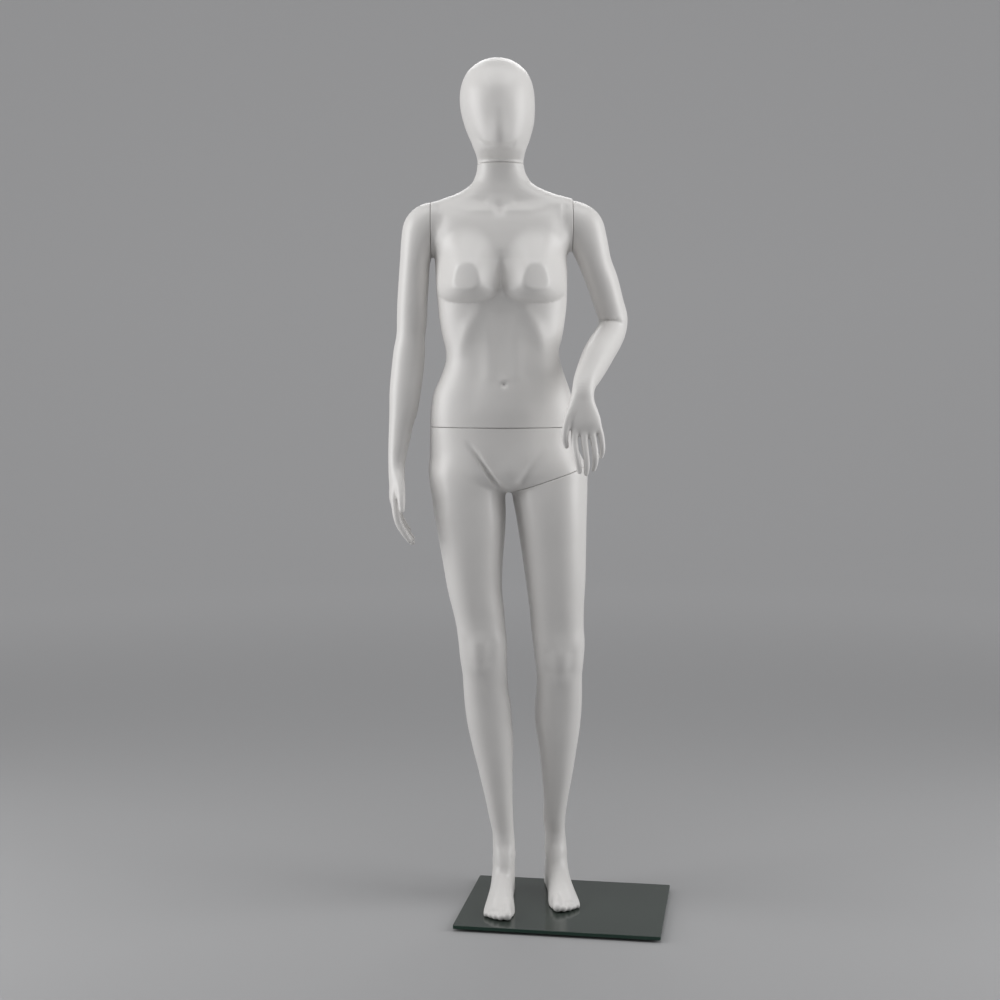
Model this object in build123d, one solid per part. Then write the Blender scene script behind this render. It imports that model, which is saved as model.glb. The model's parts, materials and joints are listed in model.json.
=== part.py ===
from build123d import *
import math
import os

# A female display mannequin with an egg head, standing on a glass plate, in millimetres.
# +Z is up, the figure faces -Y, and its left side is +X. The figure is made of six hollow
# shells. Bayonet fittings join them at the neck, the shoulders, the waist and the left
# groin, and a spigot on the glass stands in the right foot.

# ---------------------------------------------------------------- driving dimensions
FIGURE_HEIGHT = 1748.0      # sole to crown
TABLE_HEIGHT = 1748.0       # the figure height for which the section tables are written
WALL = 3.0                  # shell wall
SEAM_GAP = 1.0              # between the faces of two shells at a seam
SOLE_CLEARANCE = 0.3        # between a sole and the glass

GLASS_WIDTH = 420.0
GLASS_DEPTH = 325.0
GLASS_THICKNESS = 8.0
GLASS_CORNER = 4.0
GLASS_EDGE = 0.8            # polished edge bevel
GLASS_CENTRE = (137.0, -33.0)
GLASS_TURN = -9.2           # degrees about Z, against the figure
BUMPER_RADIUS = 8.0
BUMPER_HEIGHT = 5.0
BUMPER_INSET = 24.0         # bumper centre to the glass edges

SPIGOT_RADIUS = 6.0
SPIGOT_LENGTH = 106.0       # above its shoulder
SPIGOT_SHOULDER = (11.0, 3.0)   # radius, thickness
SHOULDER_PLAY = 0.6         # between the shoulder and its recess in the sole
SPIGOT_PLACE = (8.0, 36.0)      # in the right foot, below the ankle
SLEEVE_WALL = 2.0
SLEEVE_BOSS_WALL = 3.5
RUNNING_CLEARANCE = 0.06    # radial, between a turning or sliding shaft and its hole
BASE_SCREW_RADIUS = 4.0
BASE_SCREW_HEAD = (7.0, 2.2)    # radius, thickness
BASE_SCREW_REACH = 14.0     # into the spigot
GLASS_BUSH_WALL = 3.0
GASKET = (12.0, 1.0)        # radius, thickness
WASHER = (12.0, 1.2)        # radius, thickness

PLATE_THICKNESS = 2.5
PLATE_CLEARANCE = 0.3       # between the two plates of a fitting
PLATE_FIT = 0.1             # radial, between a plate and its recess
STUD_RADIUS = 6.0
STUD_REACH = 8.0            # from the seam to the far side of the T bar
STUD_BAR = (22.0, 6.0, 3.5)     # length, width, thickness
STUD_BAR_PLAY = 0.5
STUD_RIVET = (9.0, 2.0)     # radius, thickness
BOSS_MARGIN = 4.0           # boss radius over plate radius
BOSS_FLOOR = 3.0            # left under a fitting's pocket
PLATE_SCREW_RADIUS = 1.8
PLATE_SCREW_HEAD = (3.6, 1.8)   # radius, depth of the countersink
PLATE_SCREW_LENGTH = 10.0
PLATE_SCREW_COUNT = 3
PLATE_SCREW_INSET = 7.0     # screw centre to the plate's rim
SCREW_FIT = 0.05            # round a screw in its plate
SMALL_PLATE = 24.0          # plate radius at the neck, shoulders and groin
WAIST_PLATE = 45.0          # plate radius at the waist

# ---------------------------------------------------------------- the figure's sections
# Level sections, from bottom to top: height above the sole, middle x, half width,
# y of the front, y of the back.
HEAD = [
    (1520, 1, 47.5, -45, 50), (1536, 1, 47, -47, 50), (1545, 1, 47.5, -58, 52),
    (1553, 1, 49, -82, 56), (1562, 1, 52, -95, 63), (1576, 0, 57, -101, 72),
    (1592, -1, 63.5, -105, 80), (1610, -2, 69.5, -106, 86), (1635, -4, 74, -106, 91),
    (1660, -5.5, 75.5, -104, 92), (1685, -6, 73.5, -98, 89), (1705, -6, 67.5, -88, 82),
    (1722, -6, 56.5, -72, 69), (1736, -6, 39.5, -50, 49), (1744, -5, 23, -31, 31),
    (1748, -5, 6, -10, 10),
]
TORSO = [
    (985, 7, 150.5, -97, 98), (1002, 6, 150, -96, 91), (1040, 5, 147, -97, 79),
    (1073, 4.5, 139.5, -95, 70), (1106, 6, 127, -91, 64), (1139, 6, 117, -88, 62),
    (1155, 5, 116, -87, 63), (1188, 5, 123, -88, 67), (1221, 4.5, 128.5, -92, 73),
    (1253, 5, 132, -97, 79), (1286, 3.5, 133.5, -99, 84), (1319, 3, 135, -97, 87),
    (1351, 2, 136, -91, 89), (1375, 3, 143, -84, 88), (1400, 4, 158, -76, 85),
    (1430, 6, 166, -66, 78), (1448, 9, 162, -58, 71), (1464, 14, 140, -53, 64),
    (1480, 8.5, 91.5, -50, 60), (1496, 4.5, 64.5, -48, 56), (1512, 2.5, 52.5, -47, 53),
    (1536, 1, 47, -47, 50), (1550, 1, 46, -47, 50),
]
PELVIS = [
    (864, 18, 40, -40, 70), (868, 18, 90, -66, 92), (876, 18, 135, -84, 112),
    (890, 17.5, 160, -93, 122), (908, 17, 165, -96, 124), (924, 14, 161, -97, 120),
    (941, 10.5, 156.5, -98, 115), (974, 7, 151.5, -97, 103), (1002, 6, 150, -96, 91),
    (1020, 5.5, 148.5, -97, 85),
]
RIGHT_LEG = [
    (48, 9, 20, -16, 72), (80, 8.5, 23, -12, 70), (95, 8.5, 24, -8, 69), (115, 8, 23.5, 1, 66),
    (134, 7, 23, 3, 63), (169, 2.5, 25.5, 0, 61), (205, -1.5, 28.5, -5, 61),
    (240, -5.5, 32.5, -10, 63), (275, -9.5, 36.5, -16, 67), (310, -13.5, 41.5, -22, 72),
    (345, -17.5, 45.5, -27, 76), (380, -22.5, 47.5, -32, 77), (415, -25.5, 48.5, -37, 74),
    (449, -29.5, 46.5, -44, 66), (484, -31.5, 46.5, -52, 55), (518, -34, 48, -62, 47),
    (553, -36, 49, -68, 46), (587, -41, 49, -69, 50), (621, -47, 51, -72, 57),
    (655, -53, 53, -76, 64), (723, -58.5, 60.5, -84, 75), (791, -63.5, 67.5, -90, 85),
    (824, -66, 71, -92, 93), (858, -69, 72.5, -92, 104), (880, -71, 74.5, -91, 112),
    (905, -72, 74.5, -88, 114),
]
LEFT_LEG = [
    (45, 121, 20, 30, 122), (75, 121, 23, 36, 121), (89, 121, 23, 42, 121), (105, 120, 23, 50, 118),
    (121, 119, 22, 52, 115), (157, 117, 24, 44, 109), (193, 119.5, 25.5, 36, 106),
    (230, 121.5, 29.5, 27, 104), (266, 123, 34, 18, 103), (302, 123.5, 38.5, 9, 102),
    (337, 123.5, 43.5, -1, 101), (373, 123, 48, -10, 98), (408, 123.5, 49.5, -19, 91),
    (444, 125, 48, -29, 79), (479, 125, 47.5, -40, 66), (514, 124, 50, -51, 59),
    (549, 123, 52.5, -57, 60), (584, 120, 54, -61, 63), (618, 118.5, 56.5, -65, 68),
    (687, 115.5, 62.5, -75, 78), (756, 111, 68, -83, 87), (824, 108, 72, -90, 96),
    (857, 107.5, 73.5, -91, 104), (880, 107, 74.5, -90, 111),
    (905, 106, 75, -87, 112),
]
# Upright cross sections of the feet, from heel to toe root: y from the heel, half width,
# height of the upper.
FOOT = [
    (0, 9, 22), (4, 17, 42), (14, 23.5, 64), (42, 25, 84), (76, 25, 82),
    (110, 27, 60), (145, 30.5, 42), (175, 32.5, 30), (196, 31, 22), (204, 27, 17),
]
RIGHT_HEEL = (9.0, 82.0)    # x, y of the back of the heel
LEFT_HEEL = (119.0, 133.0)
RIGHT_FOOT_TURN = -3.5      # degrees about Z from straight ahead
LEFT_FOOT_TURN = 5.0
# The toes: distance from the heel to the tip, side from the foot's middle, radius.
TOES = [(224, 20, 11), (224, 5.5, 8), (219, -6, 7.5), (212, -16.5, 7), (203, -25.5, 6.5)]
TOE_LENGTH = 34.0

# Limbs: x, y, height, half width across, half width fore and aft.
RIGHT_ARM = [
    (-118, 2, 1425, 30, 40), (-140, 3, 1421, 36, 44), (-158, 3, 1404, 41, 45),
    (-168, 3, 1378, 36, 47), (-174, 3, 1340, 31, 45), (-177, 3, 1300, 31, 43),
    (-180, 3, 1254, 31, 41), (-184, 3, 1221, 27.5, 39), (-188, 2, 1188, 24.5, 37),
    (-190, -1, 1155, 29, 38), (-192, -5, 1115, 31, 38), (-195, -10, 1073, 31.5, 37),
    (-198, -15, 1040, 29, 34), (-203, -19, 1008, 25, 31), (-207, -23, 975, 22, 28),
    (-211, -27, 942, 18.5, 26), (-212, -30, 922, 17, 26),
]
RIGHT_PALM = [
    (-212, -30, 926, 17, 26), (-211, -33, 905, 17, 31), (-212, -37, 880, 16, 36),
    (-214, -40, 858, 14, 38), (-213, -42, 842, 12, 37), (-209, -43, 828, 8, 34),
]
LEFT_ARM = [
    (124, 2, 1425, 30, 40), (147, 4, 1421, 36, 44), (168, 6, 1404, 42, 45),
    (182, 9, 1378, 37, 47), (196, 15, 1340, 33, 45), (208, 23, 1300, 33, 43),
    (222, 33, 1254, 31, 41), (231, 40, 1225, 30, 37), (230, 33, 1200, 30, 34),
    (220, 10, 1180, 31, 34), (206, -22, 1159, 31, 35), (193, -57, 1138, 30, 34),
    (180, -94, 1115, 27, 31), (170, -126, 1095, 24, 26), (165, -145, 1078, 23, 20),
    (163, -152, 1064, 25, 17),
]
LEFT_PALM = [
    (163, -150, 1070, 25, 17), (163, -154, 1050, 27, 16), (166, -156, 1025, 32, 15),
    (170, -156, 1003, 34, 14), (174, -154, 985, 33, 12), (178, -152, 972, 29, 8),
]
# Fingers: x, y, height, radius from the root to the tip.
RIGHT_FINGERS = [
    [(-213, -71, 850, 9.5), (-211, -74, 822, 8.6), (-205, -76, 800, 8), (-196, -76, 778, 7.2), (-191, -75, 768, 4)],
    [(-214, -54, 850, 9.5), (-212, -56, 820, 8.8), (-204, -57, 794, 8.2), (-192, -57, 771, 7.2), (-186, -56, 762, 4)],
    [(-214, -36, 850, 9.5), (-211, -37, 822, 8.4), (-203, -38, 797, 8), (-191, -38, 775, 7), (-185, -38, 766, 4)],
    [(-213, -19, 852, 8.8), (-210, -18, 829, 7.6), (-203, -18, 810, 7), (-194, -18, 793, 6.4), (-189, -18, 785, 3.5)],
    [(-208, -52, 908, 12), (-202, -72, 888, 11), (-200, -87, 866, 9), (-199, -94, 846, 7.6), (-199, -96, 836, 4)],
]
LEFT_FINGERS = [
    [(147, -156, 990, 9), (152, -161, 966, 8.6), (158, -162, 944, 7.8), (163, -158, 926, 6.8), (164, -156, 918, 4)],
    [(165, -155, 985, 9.2), (171, -160, 960, 8.6), (176, -161, 940, 7.8), (180, -157, 922, 6.8), (181, -155, 914, 4)],
    [(182, -154, 986, 9), (187, -159, 964, 8.2), (190, -159, 946, 7.4), (191, -155, 930, 6.6), (191, -153, 922, 4)],
    [(196, -152, 992, 8), (199, -156, 975, 7.2), (200, -156, 960, 6.6), (200, -153, 946, 6), (200, -151, 939, 3.5)],
    [(143, -153, 1040, 12), (133, -160, 1018, 11), (129, -161, 998, 9), (130, -158, 980, 7.6), (131, -156, 970, 4)],
]
BREASTS = [(-66, -70, 1298), (70, -70, 1299)]
BREAST_SIZE = (58, 62, 50)
NOSE = (-3, -99, 1622)
NOSE_SIZE = (10, 13, 32)

# ---------------------------------------------------------------- seams
NECK_SEAM = 1536.0
WAIST_SEAM = 1002.0
RIGHT_SHOULDER_SEAM = -141.0
LEFT_SHOULDER_SEAM = 148.0
SHOULDER_SEAM_FOOT = 1250.0         # height above which the shoulder seams cut
SHOULDER_AXIS = (4.0, 1415.0)       # y, height of the arm fittings
WAIST_AXIS = (6.0, 0.0)             # x, y of the waist fitting
NECK_AXIS = (1.0, 2.0)              # x, y of the neck fitting
GROIN_SEAM_START = (36.0, 873.0)    # x, height at the crotch
GROIN_SEAM_SLOPE = 19.0             # degrees up towards the hip
GROIN_FITTING_ALONG = 74.0          # along the slope from its start
GROIN_FITTING_Y = 4.0
CROTCH_X = 20.0                     # the left leg's piece begins beyond this x
CROTCH_FLOOR = 888.0                # height to which the pelvis is solid between the legs

SCALE = FIGURE_HEIGHT / TABLE_HEIGHT
GLASS_TOP = BUMPER_HEIGHT + GLASS_THICKNESS
SOLE = GLASS_TOP + SOLE_CLEARANCE
FAR = 3000.0                        # larger than the figure, for half spaces
SECTION_POINTS = 16
SECTION_POWER = 2.3                 # 2 is an ellipse, more is squarer


def at(x, y, height):
    """A point of the figure from its place in the tables."""
    return Vector(x * SCALE, y * SCALE, SOLE + height * SCALE)


# ---------------------------------------------------------------- forms
def oval_point(angle, half_width, half_depth):
    """A point of a slightly squared oval round the origin."""
    c, s = math.cos(angle), math.sin(angle)
    return (
        half_width * math.copysign(abs(c) ** (2 / SECTION_POWER), c),
        half_depth * math.copysign(abs(s) ** (2 / SECTION_POWER), s),
    )


def oval(plane, half_width, half_depth):
    """A closed smooth wire in a plane."""
    angles = [2 * math.pi * i / SECTION_POINTS for i in range(SECTION_POINTS)]
    corners = [oval_point(a, half_width, half_depth) for a in angles]
    points = [plane.from_local_coords(Vector(u, v, 0)) for u, v in corners]
    return Wire([Edge.make_spline(points, periodic=True)])


def column(stations, inset=0.0):
    """A solid through level sections, drawn in by an inset at its sides."""
    rings = []
    for height, x, half_width, front, back in stations:
        centre = at(x, (front + back) / 2, height)
        wide = half_width * SCALE - inset
        deep = (back - front) / 2 * SCALE - inset
        if min(wide, deep) > 1.0:
            rings.append(oval(Plane(centre), wide, deep))
    return Solid.make_loft(rings)


def limb(stations, inset=0.0):
    """A solid along a bent line, its sections square to the line."""
    centres = [at(*s[:3]) for s in stations]
    rings = []
    for i, (x, y, height, across, fore_aft) in enumerate(stations):
        before, after = centres[max(i - 1, 0)], centres[min(i + 1, len(centres) - 1)]
        along = (after - before).normalized()
        side = (Vector(1, 0, 0) - along * along.X).normalized()
        plane = Plane(centres[i], x_dir=side, z_dir=along)
        rings.append(oval(plane, across * SCALE - inset, fore_aft * SCALE - inset))
    return Solid.make_loft(rings)


def finger(stations):
    """A finger: round sections that narrow to its tip."""
    return limb([(x, y, height, radius, radius) for x, y, height, radius in stations])


def ellipsoid(centre, radii, inset=0.0):
    sizes = [r * SCALE - inset for r in radii]
    return Pos(*at(*centre)) * scale(Sphere(1), by=tuple(sizes))


def foot(heel, turn, side, inset=0.0):
    """A foot with a flat sole and, on its outside, five toes. side is -1 for the right."""
    rings = []
    for reach, half_width, top in FOOT:
        wide = half_width * SCALE - inset
        tall = top * SCALE - inset
        plane = Plane(Vector(0, -reach * SCALE, 0), x_dir=(1, 0, 0), z_dir=(0, -1, 0))
        rings.append(oval(plane, wide, tall))
    form = Solid.make_loft(rings)
    if not inset:
        for reach, across, radius in TOES:
            size = (radius * SCALE, TOE_LENGTH / 2 * SCALE, radius * SCALE * 1.1)
            middle = (-side * across * SCALE, (TOE_LENGTH / 2 - reach) * SCALE, radius * SCALE * 0.9)
            form = form + Pos(*middle) * scale(Sphere(1), by=size)
    level = Pos(0, 0, inset) * Box(FAR, FAR, FAR, align=(Align.CENTER, Align.CENTER, Align.MIN))
    form = form & level
    return Pos(heel[0] * SCALE, heel[1] * SCALE, SOLE) * Rot(0, 0, turn) * form


def half_space(plane, offset):
    """Everything on the side of a plane that its normal points to, from an offset on."""
    box = Box(FAR, FAR, FAR, align=(Align.CENTER, Align.CENTER, Align.MIN))
    return plane.offset(offset).location * box


# ---------------------------------------------------------------- fittings
def disc(radius, bottom, top):
    """A round piece on the local Z axis between two levels."""
    aligned = (Align.CENTER, Align.CENTER, Align.MIN)
    return Pos(0, 0, bottom) * Cylinder(radius, top - bottom, align=aligned)


def around(count, radius, solid):
    """Copies of a solid on a circle."""
    return [Rot(0, 0, 360 / count * i) * Pos(radius, 0, 0) * solid for i in range(count)]


FACE = -PLATE_CLEARANCE / 2                 # the fixed plate's outer face
PLATE_BACK = FACE - PLATE_THICKNESS
POCKET_DEPTH = STUD_REACH + 1.0
BOSS_DEPTH = POCKET_DEPTH + BOSS_FLOOR


def plate_screw(extra=0.0):
    """A countersunk screw flush with the fixed plate's face; extra widens it to its hole."""
    head_radius, head_depth = PLATE_SCREW_HEAD
    aligned = (Align.CENTER, Align.CENTER, Align.MIN)
    head = Pos(0, 0, FACE - head_depth) * Cone(
        PLATE_SCREW_RADIUS + extra, head_radius + extra, head_depth, align=aligned
    )
    return head + disc(PLATE_SCREW_RADIUS + extra, FACE - PLATE_SCREW_LENGTH, FACE - head_depth)


def plate_side(radius):
    """One side of a fitting below its seam: plate blank, screws, recess with pilots, boss."""
    screw_circle = radius - PLATE_SCREW_INSET
    blank = disc(radius, PLATE_BACK, FACE)
    for hole in around(PLATE_SCREW_COUNT, screw_circle, plate_screw(SCREW_FIT)):
        blank = blank - hole
    screws = around(PLATE_SCREW_COUNT, screw_circle, plate_screw())
    recess = disc(radius + PLATE_FIT, PLATE_BACK, SEAM_GAP)
    pilot = disc(PLATE_SCREW_RADIUS, FACE - PLATE_SCREW_LENGTH, PLATE_BACK)
    pilots = around(PLATE_SCREW_COUNT, screw_circle, pilot)
    boss = disc(radius + BOSS_MARGIN, -BOSS_DEPTH, -SEAM_GAP / 2)
    return blank, screws, [recess, *pilots], boss


def keyhole():
    """The socket's hole: a running fit on the stud, and a slot that passes the T bar."""
    length, width, _ = STUD_BAR
    slot = Box(length + 2 * STUD_BAR_PLAY, width + 2 * STUD_BAR_PLAY, 4 * PLATE_THICKNESS)
    return disc(STUD_RADIUS + RUNNING_CLEARANCE, 2 * PLATE_BACK, SEAM_GAP) + slot


def stud():
    """A riveted stud with a T bar, turned a quarter from the keyhole's slot."""
    length, width, thickness = STUD_BAR
    rivet_radius, rivet_thickness = STUD_RIVET
    shank = disc(STUD_RADIUS, -STUD_REACH, -PLATE_BACK)
    rivet = disc(rivet_radius, -PLATE_BACK, -PLATE_BACK + rivet_thickness)
    bar = Pos(0, 0, -STUD_REACH + thickness / 2) * Box(width, length, thickness)
    return shank + bar + rivet


def fitting(name, plane, radius):
    """A bayonet fitting. plane lies in the seam, its normal from the socket to the stud.
    Gives the nodes, and for each side's shell its boss and what is cut from it."""
    blank, screws, cuts, boss = plate_side(radius)
    flip = Rot(180, 0, 0)
    bar_pocket = disc(STUD_BAR[0] / 2 + 1.5, -POCKET_DEPTH, PLATE_BACK)
    rivet_pocket = disc(STUD_RIVET[0] + 0.5, PLATE_BACK - STUD_RIVET[1] - 0.5, PLATE_BACK)
    stud_hole = disc(STUD_RADIUS, 2 * PLATE_BACK, SEAM_GAP)
    place = plane.location
    nodes = {
        name + "_socket_plate": [place * (blank - keyhole())],
        name + "_socket_screws": [place * s for s in screws],
        name + "_stud_plate": [place * (flip * (blank - stud_hole))],
        name + "_stud_screws": [place * (flip * s) for s in screws],
        name + "_stud": [place * stud()],
    }
    socket_side = (place * boss, [place * c for c in [*cuts, bar_pocket]])
    stud_side = (place * (flip * boss), [place * (flip * c) for c in [*cuts, rivet_pocket]])
    return nodes, socket_side, stud_side


def shell(outer, inner, seams, sides, extra_bosses=()):
    """A hollow shell: its form between the seams, less the cavity, with bosses for fittings.
    seams are planes whose normals point into the piece."""
    skin, hollow = outer, inner
    for plane in seams:
        skin = skin & half_space(plane, SEAM_GAP / 2)
        hollow = hollow & half_space(plane, SEAM_GAP / 2 + WALL)
    bosses = [boss & skin for boss, _ in sides] + [b & skin for b in extra_bosses]
    for boss in bosses:
        hollow = hollow - boss
    piece = skin - hollow
    for _, cuts in sides:
        for cut in cuts:
            piece = piece - cut
    return piece


# ---------------------------------------------------------------- seam planes
def level_plane(x, y, height):
    """A level plane with its normal up."""
    return Plane(at(x, y, height), x_dir=(0, 1, 0), z_dir=(0, 0, 1))


neck_plane = level_plane(*NECK_AXIS, NECK_SEAM)
waist_plane = level_plane(*WAIST_AXIS, WAIST_SEAM)
right_shoulder_plane = Plane(
    at(RIGHT_SHOULDER_SEAM, *SHOULDER_AXIS), x_dir=(0, 0, 1), z_dir=(-1, 0, 0)
)
left_shoulder_plane = Plane(
    at(LEFT_SHOULDER_SEAM, *SHOULDER_AXIS), x_dir=(0, 0, 1), z_dir=(1, 0, 0)
)
slope = math.radians(GROIN_SEAM_SLOPE)
groin_plane = Plane(
    at(
        GROIN_SEAM_START[0] + GROIN_FITTING_ALONG * math.cos(slope),
        GROIN_FITTING_Y,
        GROIN_SEAM_START[1] + GROIN_FITTING_ALONG * math.sin(slope),
    ),
    x_dir=(0, 1, 0),
    z_dir=(math.sin(slope), 0, -math.cos(slope)),
)


def away(plane):
    """The same plane with its normal the other way."""
    return Plane(plane.origin, x_dir=plane.x_dir, z_dir=-plane.z_dir)


# ---------------------------------------------------------------- shells
def hand_form(palm, fingers):
    """A solid hand: a palm and five fingers."""
    hand = limb(palm)
    for digit in fingers:
        hand = hand + finger(digit)
    return hand


def beyond_shoulder(plane, offset):
    """The space past a shoulder seam, on the side that its normal points to."""
    level = Plane(at(0, 0, SHOULDER_SEAM_FOOT))
    return half_space(plane, offset) & half_space(level, 0)


def arm_shell(stations, palm, fingers, seam, side):
    """A hollow arm from its shoulder seam down, and its hand."""
    torso_side = away(seam)
    arm = limb(stations) - beyond_shoulder(torso_side, -SEAM_GAP / 2)
    hollow = limb(stations[:-1], WALL) - beyond_shoulder(torso_side, -SEAM_GAP / 2 - WALL)
    return shell(arm, hollow, [], [side]) + hand_form(palm, fingers)


def torso_form(inset=0.0):
    form = column(TORSO, inset)
    for centre in BREASTS:
        form = form + ellipsoid(centre, BREAST_SIZE, inset)
    return form


def leg_form(stations, heel, turn, side, inset=0.0):
    return column(stations, inset) + foot(heel, turn, side, inset)


def groin_side(offset):
    """The space that the left leg's piece fills: below the groin seam, left of the crotch."""
    left = Plane(at(CROTCH_X, 0, 0), z_dir=(1, 0, 0))
    return half_space(groin_plane, offset) & half_space(left, offset)


def sleeve_boss():
    """The moulded tube in the right foot that holds the sleeve, on a wider pad."""
    radius = SPIGOT_RADIUS + RUNNING_CLEARANCE + SLEEVE_WALL + SLEEVE_BOSS_WALL
    shoulder_top = GLASS_TOP + GASKET[1] + SPIGOT_SHOULDER[1]
    top = shoulder_top + SPIGOT_LENGTH + 2 * BOSS_FLOOR
    pad_radius = SPIGOT_SHOULDER[0] + SHOULDER_PLAY + WALL
    pad = disc(pad_radius, SOLE, shoulder_top + SHOULDER_PLAY + WALL)
    return Pos(SPIGOT_PLACE[0] * SCALE, SPIGOT_PLACE[1] * SCALE, 0) * (disc(radius, SOLE, top) + pad)


def build_base():
    """The glass, its bumpers, and the spigot with what clamps it to the glass."""
    x, y = SPIGOT_PLACE[0] * SCALE, SPIGOT_PLACE[1] * SCALE
    under = BUMPER_HEIGHT
    spigot_floor = GLASS_TOP + GASKET[1]
    shoulder_radius, shoulder = SPIGOT_SHOULDER
    spigot_top = spigot_floor + shoulder + SPIGOT_LENGTH
    bush_radius = BASE_SCREW_RADIUS + GLASS_BUSH_WALL
    turn = Pos(*GLASS_CENTRE, 0) * Rot(0, 0, GLASS_TURN)
    slab = Box(
        GLASS_WIDTH, GLASS_DEPTH, GLASS_THICKNESS, align=(Align.CENTER, Align.CENTER, Align.MIN)
    )
    slab = fillet(slab.edges().filter_by(Axis.Z), GLASS_CORNER)
    rims = slab.edges().group_by(Axis.Z)
    slab = chamfer(rims[0] + rims[-1], GLASS_EDGE)
    glass = turn * Pos(0, 0, under) * slab
    glass = glass - Pos(x, y, 0) * disc(bush_radius, 0, GLASS_TOP + 1)
    reach_x = GLASS_WIDTH / 2 - BUMPER_INSET
    reach_y = GLASS_DEPTH / 2 - BUMPER_INSET
    bumper = fillet(disc(BUMPER_RADIUS, 0, under).edges().group_by(Axis.Z)[0], 1.0)
    bumpers = [
        turn * Pos(sx * reach_x, sy * reach_y, 0) * bumper for sx in (-1, 1) for sy in (-1, 1)
    ]
    here = Pos(x, y, 0)
    screw_hole = disc(BASE_SCREW_RADIUS, 0, spigot_floor + BASE_SCREW_REACH)
    bush = disc(bush_radius, under, GLASS_TOP) - screw_hole
    top_gasket = disc(GASKET[0] - 1, GLASS_TOP, spigot_floor) - screw_hole
    low_gasket = disc(GASKET[0], under - GASKET[1], under) - screw_hole
    washer_top = under - GASKET[1]
    washer = disc(WASHER[0], washer_top - WASHER[1], washer_top) - screw_hole
    head_radius, head = BASE_SCREW_HEAD
    head_top = washer_top - WASHER[1]
    screw = disc(head_radius, head_top - head, head_top)
    drive = Pos(0, 0, head_top - head) * extrude(RegularPolygon(2.5, 6), head * 0.6)
    screw = screw + disc(BASE_SCREW_RADIUS, head_top, spigot_floor + BASE_SCREW_REACH) - drive
    spigot = disc(shoulder_radius, spigot_floor, spigot_floor + shoulder)
    spigot = spigot + disc(SPIGOT_RADIUS, spigot_floor + shoulder, spigot_top)
    spigot = chamfer(spigot.edges().group_by(Axis.Z)[-1], 1.5) - screw_hole
    sleeve_low = spigot_floor + shoulder + SHOULDER_PLAY
    sleeve_bore = SPIGOT_RADIUS + RUNNING_CLEARANCE
    sleeve = disc(sleeve_bore + SLEEVE_WALL, sleeve_low, spigot_top + BOSS_FLOOR)
    sleeve = sleeve - disc(sleeve_bore, 0, spigot_top + 1.0)
    nodes = {
        "base_glass": [glass],
        "base_bumpers": bumpers,
        "glass_bush": [here * bush],
        "spigot_gasket": [here * top_gasket],
        "underside_gasket": [here * low_gasket],
        "base_washer": [here * washer],
        "base_screw": [here * screw],
        "foot_spigot": [here * spigot],
        "foot_sleeve": [here * sleeve],
    }
    sole_cuts = [
        here * disc(shoulder_radius + SHOULDER_PLAY, 0, sleeve_low),
        here * disc(sleeve_bore + SLEEVE_WALL, sleeve_low, spigot_top + BOSS_FLOOR),
    ]
    return nodes, sole_cuts


def build_figure(sole_cuts):
    """The six shells and the five fittings between them."""
    neck, neck_below, neck_above = fitting("neck", neck_plane, SMALL_PLATE)
    waist, waist_below, waist_above = fitting("waist", waist_plane, WAIST_PLATE)
    right, right_in, right_out = fitting("right_shoulder", right_shoulder_plane, SMALL_PLATE)
    left, left_in, left_out = fitting("left_shoulder", left_shoulder_plane, SMALL_PLATE)
    groin, groin_above, groin_below = fitting("left_leg", groin_plane, SMALL_PLATE)
    nodes = {**neck, **waist, **right, **left, **groin}

    head = column(HEAD) + ellipsoid(NOSE, NOSE_SIZE)
    nodes["head_shell"] = [shell(head, column(HEAD, WALL), [neck_plane], [neck_above])]

    torso, torso_hollow = torso_form(), torso_form(WALL)
    for plane in (right_shoulder_plane, left_shoulder_plane):
        torso = torso - beyond_shoulder(plane, -SEAM_GAP / 2)
        torso_hollow = torso_hollow - beyond_shoulder(plane, -SEAM_GAP / 2 - WALL)
    torso_sides = [waist_above, neck_below, right_in, left_in]
    nodes["torso_shell"] = [
        shell(torso, torso_hollow, [waist_plane, away(neck_plane)], torso_sides)
    ]

    nodes["right_arm_shell"] = [
        arm_shell(RIGHT_ARM, RIGHT_PALM, RIGHT_FINGERS, right_shoulder_plane, right_out)
    ]
    nodes["left_arm_shell"] = [
        arm_shell(LEFT_ARM, LEFT_PALM, LEFT_FINGERS, left_shoulder_plane, left_out)
    ]

    right_leg = leg_form(RIGHT_LEG, RIGHT_HEEL, RIGHT_FOOT_TURN, -1)
    left_leg = leg_form(LEFT_LEG, LEFT_HEEL, LEFT_FOOT_TURN, 1)
    right_hollow = leg_form(RIGHT_LEG, RIGHT_HEEL, RIGHT_FOOT_TURN, -1, WALL)
    left_hollow = leg_form(LEFT_LEG, LEFT_HEEL, LEFT_FOOT_TURN, 1, WALL)
    pelvis = column(PELVIS)
    pelvis_hollow = column(PELVIS, WALL) & half_space(Plane(at(0, 0, CROTCH_FLOOR)), 0)

    left_half, left_half_hollow = pelvis + left_leg, pelvis_hollow + left_hollow
    hips = (left_half - groin_side(-SEAM_GAP / 2)) + right_leg
    hips_hollow = (left_half_hollow - groin_side(-SEAM_GAP / 2 - WALL)) + right_hollow
    hips = shell(
        hips, hips_hollow, [away(waist_plane)], [waist_below, groin_above], [sleeve_boss()]
    )
    for cut in sole_cuts:
        hips = hips - cut
    nodes["hips_right_leg_shell"] = [hips]

    leg = left_half & groin_side(SEAM_GAP / 2)
    leg_hollow = left_half_hollow & groin_side(SEAM_GAP / 2 + WALL)
    nodes["left_leg_shell"] = [shell(leg, leg_hollow, [], [groin_below])]
    return nodes


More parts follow.
